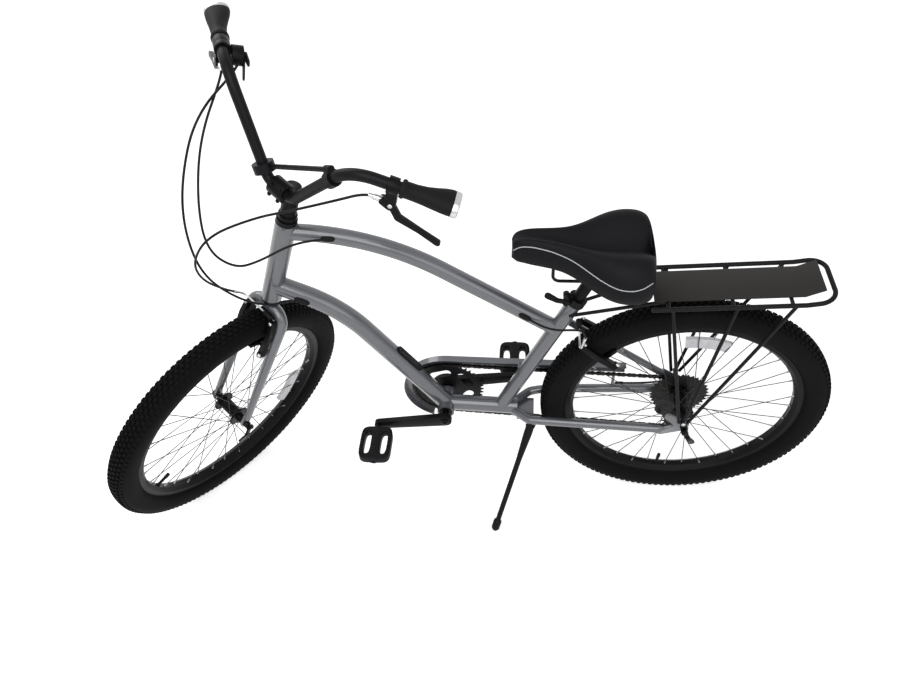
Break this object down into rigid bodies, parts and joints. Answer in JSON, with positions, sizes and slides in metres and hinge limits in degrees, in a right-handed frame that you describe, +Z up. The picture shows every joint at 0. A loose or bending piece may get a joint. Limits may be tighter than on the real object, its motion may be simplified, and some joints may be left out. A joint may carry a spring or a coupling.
{
  "type": "beach cruiser bicycle",
  "caption": "Cruiser bicycle leaning on its kickstand, with arched frame tubes, swept bar, rear rack, chain guard, rim brakes and derailleur gears",
  "frame": {"origin": "on the ground at the middle of the outer box", "axes": "+X towards the front of the bicycle, +Y to the rider's left, +Z up from the ground; the bicycle leans left on its kickstand with its bar turned left"},
  "size_m": [1.6926, 0.5898, 1.2646],
  "materials": {
    "frame_paint": "glossy mid-grey enamel",
    "black_satin": "satin black powder coat",
    "black_alloy": "black anodised",
    "bright_steel": "bright zinc",
    "bright_alloy": "polished",
    "spoke_steel": "dark stainless",
    "tyre_rubber": "matte moulded rubber",
    "grip_rubber": "soft moulded rubber",
    "saddle_vinyl": "matte grained cover over foam",
    "black_plastic": "matte moulded",
    "cable_jacket": "smooth jacket"
  },
  "bodies": {
    "frame": {"head_tube": "frame_paint", "headset_cups": "black_satin", "top_tube": "frame_paint", "down_tube": "frame_paint", "seat_tube": "frame_paint", "boom_tube": "frame_paint", "chain_stays": "frame_paint", "seat_stays": "frame_paint", "bottom_bracket": "black_satin", "chain_guard": "frame_paint", "rack_frame": "black_satin", "rack_deck": "black_satin", "bottle_mount": "black_alloy", "kickstand_bracket": "black_satin", "seat_collar": "black_satin", "derailleur_body": "black_alloy", "rear_axle": "bright_steel", "chain": "bright_steel", "rear_brake_cable": "cable_jacket", "shift_cable": "cable_jacket"},
    "seat": {"seat_post": "black_alloy", "saddle_frame": "black_plastic", "saddle_cover": "saddle_vinyl"},
    "seat_lever": {"seat_collar_lever": "bright_alloy"},
    "steering": {"fork": "frame_paint", "stem": "black_alloy", "handlebar": "black_satin", "bar_brace": "black_satin", "grips": "grip_rubber", "control_brackets": "black_alloy", "front_axle": "bright_steel", "front_brake_cable": "cable_jacket"},
    "left_lever": {"left_brake_lever": "black_alloy"},
    "right_lever": {"right_brake_lever": "black_alloy"},
    "thumb_lever": {"shift_thumb_lever": "black_plastic"},
    "release_lever": {"shift_release_lever": "black_plastic"},
    "front_arm_left": {"front_brake_arm_left": "black_alloy"},
    "front_arm_right": {"front_brake_arm_right": "black_alloy"},
    "rear_arm_left": {"rear_brake_arm_left": "black_alloy"},
    "rear_arm_right": {"rear_brake_arm_right": "black_alloy"},
    "front_wheel": {"front_tyre": "tyre_rubber", "front_rim": "black_alloy", "front_spokes": "spoke_steel", "front_hub": "black_alloy"},
    "rear_wheel": {"rear_tyre": "tyre_rubber", "rear_rim": "black_alloy", "rear_spokes": "spoke_steel", "rear_hub": "black_alloy"},
    "sprockets": {"cassette": "bright_steel"},
    "crank": {"crank_arms": "black_alloy", "chainring": "bright_steel"},
    "left_pedal_body": {"left_pedal": "black_plastic"},
    "right_pedal_body": {"right_pedal": "black_plastic"},
    "kickstand": {"kickstand_leg": "black_satin"},
    "cage": {"derailleur_cage": "bright_steel"},
    "guide_wheel": {"guide_pulley": "black_plastic"},
    "tension_wheel": {"tension_pulley": "black_plastic"},
    "front_skewer": {"front_skewer_lever": "bright_alloy"},
    "rear_skewer": {"rear_skewer_lever": "bright_alloy"}
  },
  "joints": [
    {"name": "steering", "type": "hinge", "parent": "frame", "child": "steering", "pos_m": [0.44478, 0.00189, 0.6742], "axis": [-0.3439, 0.1496, 0.927], "range_deg": [-114.28, 5.72], "deforming": ["rear_brake_cable", "shift_cable"]},
    {"name": "front_wheel_spin", "type": "hinge", "parent": "steering", "child": "front_wheel", "pos_m": [0.61428, 0, 0.321], "axis": [-0.7623, 0.5319, -0.3687], "continuous": true},
    {"name": "rear_wheel_spin", "type": "hinge", "parent": "frame", "child": "rear_wheel", "pos_m": [-0.50634, -0.05239, 0.3378], "axis": [0, 0.9872, -0.1593], "continuous": true},
    {"name": "crank_spin", "type": "hinge", "parent": "frame", "child": "crank", "pos_m": [0.06939, -0.05595, 0.31576], "axis": [0, 0.9872, -0.1593], "continuous": true, "deforming": ["chain"]},
    {"name": "sprocket_spin", "type": "hinge", "parent": "frame", "child": "sprockets", "pos_m": [-0.50634, -0.05239, 0.3378], "axis": [0, 0.9872, -0.1593], "continuous": true},
    {"name": "left_pedal_spin", "type": "hinge", "parent": "crank", "child": "left_pedal_body", "pos_m": [0.23734, 0.01193, 0.27816], "axis": [0, 0.9872, -0.1593], "continuous": true},
    {"name": "right_pedal_spin", "type": "hinge", "parent": "crank", "child": "right_pedal_body", "pos_m": [-0.09857, -0.13172, 0.35463], "axis": [0, 0.9872, -0.1593], "continuous": true},
    {"name": "cage_swing", "type": "hinge", "parent": "frame", "child": "cage", "pos_m": [-0.48625, -0.10955, 0.26601], "axis": [0, 0.9872, -0.1593], "range_deg": [-20, 25], "stiffness_Nm_per_rad": 0.6, "deforming": ["chain"]},
    {"name": "guide_spin", "type": "hinge", "parent": "cage", "child": "guide_wheel", "pos_m": [-0.48625, -0.10955, 0.26601], "axis": [0, 0.9872, -0.1593], "continuous": true},
    {"name": "tension_spin", "type": "hinge", "parent": "cage", "child": "tension_wheel", "pos_m": [-0.50966, -0.11801, 0.21362], "axis": [0, 0.9872, -0.1593], "continuous": true},
    {"name": "kickstand_fold", "type": "hinge", "parent": "frame", "child": "kickstand", "pos_m": [-0.14427, -0.02618, 0.27424], "axis": [0.1508, 0.8862, 0.4381], "range_deg": [0, 93.3]},
    {"name": "seat_height", "type": "slide", "parent": "frame", "child": "seat", "axis": [-0.4045, 0.1457, 0.9029], "range_m": [-0.02, 0.1]},
    {"name": "seat_lever_flip", "type": "hinge", "parent": "frame", "child": "seat_lever", "pos_m": [-0.2095, 0.02175, 0.68552], "axis": [-0.4045, 0.1457, 0.9029], "range_deg": [0, 120]},
    {"name": "front_skewer_flip", "type": "hinge", "parent": "steering", "child": "front_skewer", "pos_m": [0.55954, 0.03819, 0.29453], "axis": [0.3039, 0.7972, 0.5217], "range_deg": [0, 120]},
    {"name": "rear_skewer_flip", "type": "hinge", "parent": "frame", "child": "rear_skewer", "pos_m": [-0.50634, 0.03577, 0.32357], "axis": [0.8676, -0.0792, -0.4909], "range_deg": [0, 120]},
    {"name": "left_lever_pull", "type": "hinge", "parent": "steering", "child": "left_lever", "pos_m": [0.1172, 0.19976, 1.01557], "axis": [0.0543, 0.9887, -0.1394], "range_deg": [0, 24], "stiffness_Nm_per_rad": 0.8, "springref_deg": -5.73},
    {"name": "right_lever_pull", "type": "hinge", "parent": "steering", "child": "right_lever", "pos_m": [0.46653, -0.04398, 1.18451], "axis": [-0.8714, -0.4187, -0.2558], "range_deg": [0, 24], "stiffness_Nm_per_rad": 0.8, "springref_deg": -5.73},
    {"name": "front_arm_left_swing", "type": "hinge", "parent": "steering", "child": "front_arm_left", "pos_m": [0.47199, 0.01981, 0.52987], "axis": [0.4736, 0.8468, 0.2423], "range_deg": [0, 5.1]},
    {"name": "front_arm_right_swing", "type": "hinge", "parent": "steering", "child": "front_arm_right", "pos_m": [0.53603, -0.02487, 0.56084], "axis": [-0.4736, -0.8468, -0.2423], "range_deg": [0, 5.1]},
    {"name": "rear_arm_left_swing", "type": "hinge", "parent": "frame", "child": "rear_arm_left", "pos_m": [-0.31236, 0.0142, 0.4868], "axis": [0.6308, -0.1236, -0.766], "range_deg": [0, 5.1]},
    {"name": "rear_arm_right_swing", "type": "hinge", "parent": "frame", "child": "rear_arm_right", "pos_m": [-0.31236, -0.06873, 0.50018], "axis": [-0.6308, 0.1236, 0.766], "range_deg": [0, 5.1]},
    {"name": "thumb_push", "type": "hinge", "parent": "steering", "child": "thumb_lever", "pos_m": [0.43154, -0.01918, 1.20254], "axis": [-0.8714, -0.4187, -0.2558], "range_deg": [0, 25], "stiffness_Nm_per_rad": 0.2, "springref_deg": -2.86},
    {"name": "release_push", "type": "hinge", "parent": "steering", "child": "release_lever", "pos_m": [0.43154, -0.01918, 1.20254], "axis": [-0.8714, -0.4187, -0.2558], "range_deg": [0, 15], "stiffness_Nm_per_rad": 0.2, "springref_deg": -2.86}
  ],
  "couplings": [
    {"joint": "front_arm_left_swing", "follows": "left_lever_pull", "ratio": 0.21165},
    {"joint": "front_arm_right_swing", "follows": "left_lever_pull", "ratio": 0.21165},
    {"joint": "rear_arm_left_swing", "follows": "right_lever_pull", "ratio": 0.21165},
    {"joint": "rear_arm_right_swing", "follows": "right_lever_pull", "ratio": 0.21165},
    {"joint": "sprocket_spin", "follows": "crank_spin", "ratio": 2.2},
    {"joint": "guide_spin", "follows": "crank_spin", "ratio": -4},
    {"joint": "tension_spin", "follows": "crank_spin", "ratio": 4}
  ]
}
